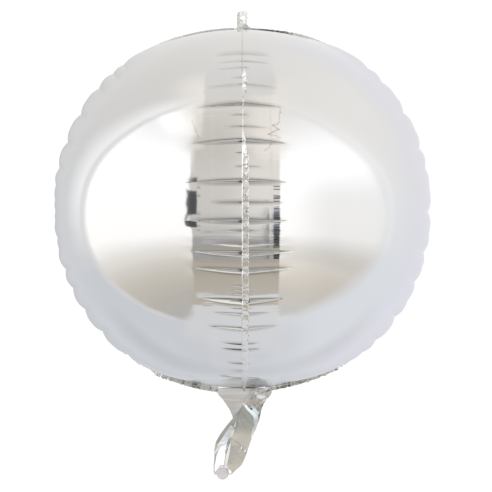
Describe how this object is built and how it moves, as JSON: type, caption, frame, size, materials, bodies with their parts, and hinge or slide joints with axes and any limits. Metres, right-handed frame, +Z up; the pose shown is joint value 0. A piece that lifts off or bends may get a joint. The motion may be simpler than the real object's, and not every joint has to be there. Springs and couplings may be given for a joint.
{
  "type": "orb foil balloon",
  "caption": "Round foil balloon of mirror film gores sealed edge to edge, with puckered seams, a hang tab at the top and a twisted filling tail below.",
  "frame": {"origin": "centre of the inflated envelope, on the mount air_lift", "axes": "+Z up from the tail to the hang tab, -Y towards the front seam, +X to the viewer's right"},
  "size_m": [0.402, 0.3992, 0.5031],
  "materials": {
    "foil": "polished",
    "sealed_margin": "polished",
    "clear_film": "clear"
  },
  "bodies": {
    "root": {"gore_front_right": "foil", "gore_back_right": "foil", "gore_back_left": "foil", "gore_front_left": "foil", "seam_front": "sealed_margin", "seam_right": "sealed_margin", "seam_back": "sealed_margin", "seam_left": "sealed_margin", "hang_tab": "sealed_margin", "tab_gather": "sealed_margin", "tail_front_ply": "foil", "tail_back_ply": "foil", "valve_film": "clear_film"}
  },
  "joints": []
}
